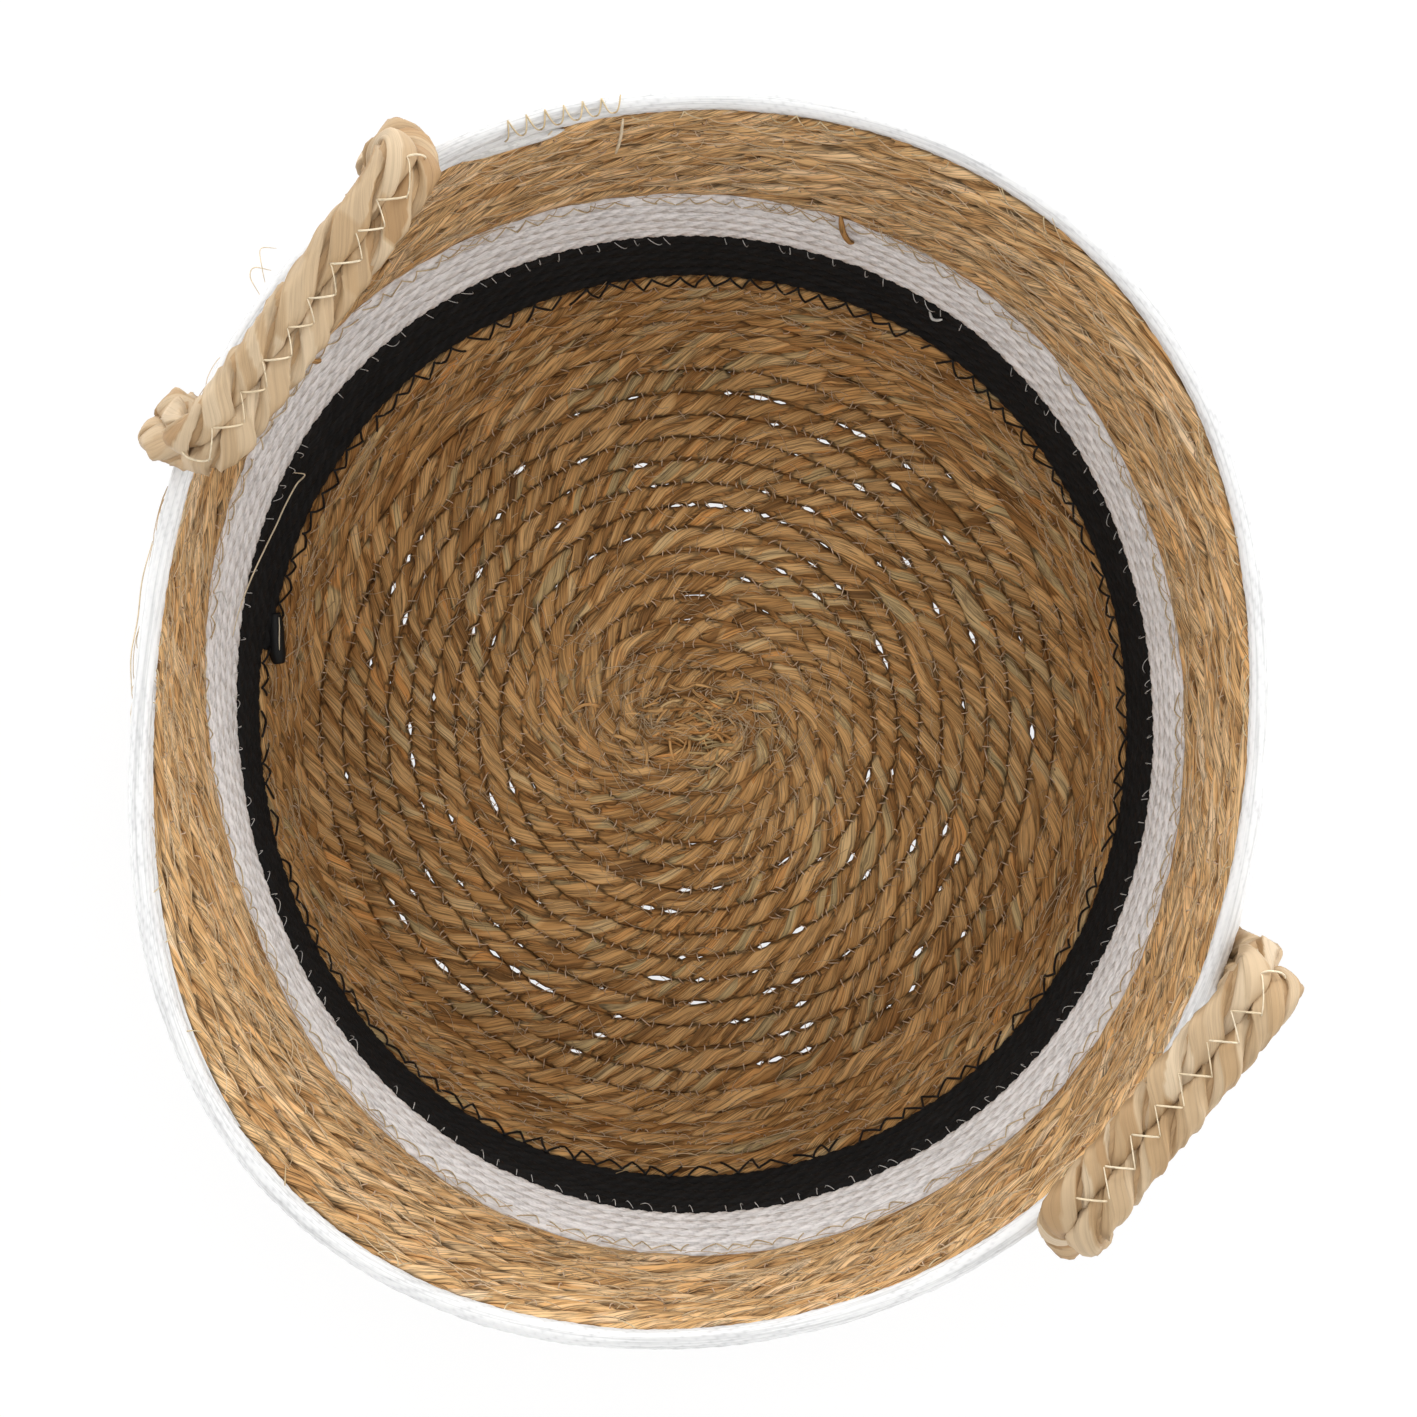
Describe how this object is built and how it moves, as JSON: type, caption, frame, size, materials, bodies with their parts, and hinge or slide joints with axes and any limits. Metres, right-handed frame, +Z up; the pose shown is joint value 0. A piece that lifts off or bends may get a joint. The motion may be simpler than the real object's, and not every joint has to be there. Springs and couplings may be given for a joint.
{
  "type": "coiled rope storage basket",
  "caption": "Round open basket of coiled straw rope with a black and a white band, a white rim and twisted straw rope handles that swing at the rim.",
  "frame": {"origin": "middle of the base's underside, on the surface that the basket stands on", "axes": "+Z up; +X from the middle towards the right handle; the left handle stands near -X"},
  "size_m": [0.3543, 0.3605, 0.2365],
  "materials": {
    "straw_rope": "dry twisted straw, uneven tan and brown",
    "black_cord": "dyed black twisted straw cord, matt",
    "white_cord": "white painted twisted cord, matt",
    "rim_cord": "bright white painted twisted cord, matt",
    "handle_straw": "pale dry straw leaves, twisted into rope, slight sheen",
    "tan_thread": "twisted tan sewing twine",
    "black_thread": "black sewing twine",
    "white_thread": "white sewing twine",
    "pale_thread": "pale straw sewing twine"
  },
  "bodies": {
    "basket": {"base_coil": "straw_rope", "lower_wall_rope": "straw_rope", "black_rope": "black_cord", "white_rope": "white_cord", "upper_wall_rope": "straw_rope", "rim_rope": "rim_cord", "black_seam_thread": "black_thread", "white_seam_thread": "white_thread", "tan_seam_thread": "tan_thread", "rim_seam_thread": "tan_thread", "right_handle_near_end": "handle_straw", "right_handle_far_end": "handle_straw", "left_handle_near_end": "handle_straw", "left_handle_far_end": "handle_straw"},
    "right_handle": {"right_handle_loop": "handle_straw", "right_handle_stitch": "pale_thread"},
    "left_handle": {"left_handle_loop": "handle_straw", "left_handle_stitch": "pale_thread"}
  },
  "joints": [
    {"name": "right_handle_swing", "type": "hinge", "parent": "basket", "child": "right_handle", "pos_m": [0.16971, -0.00054, 0.18687], "axis": [0.0641, -0.9979, 0], "range_deg": [-101, 49]},
    {"name": "left_handle_swing", "type": "hinge", "parent": "basket", "child": "left_handle", "pos_m": [-0.16971, 0.02525, 0.18687], "axis": [0.0124, 0.9999, 0], "range_deg": [-120, 30]}
  ]
}
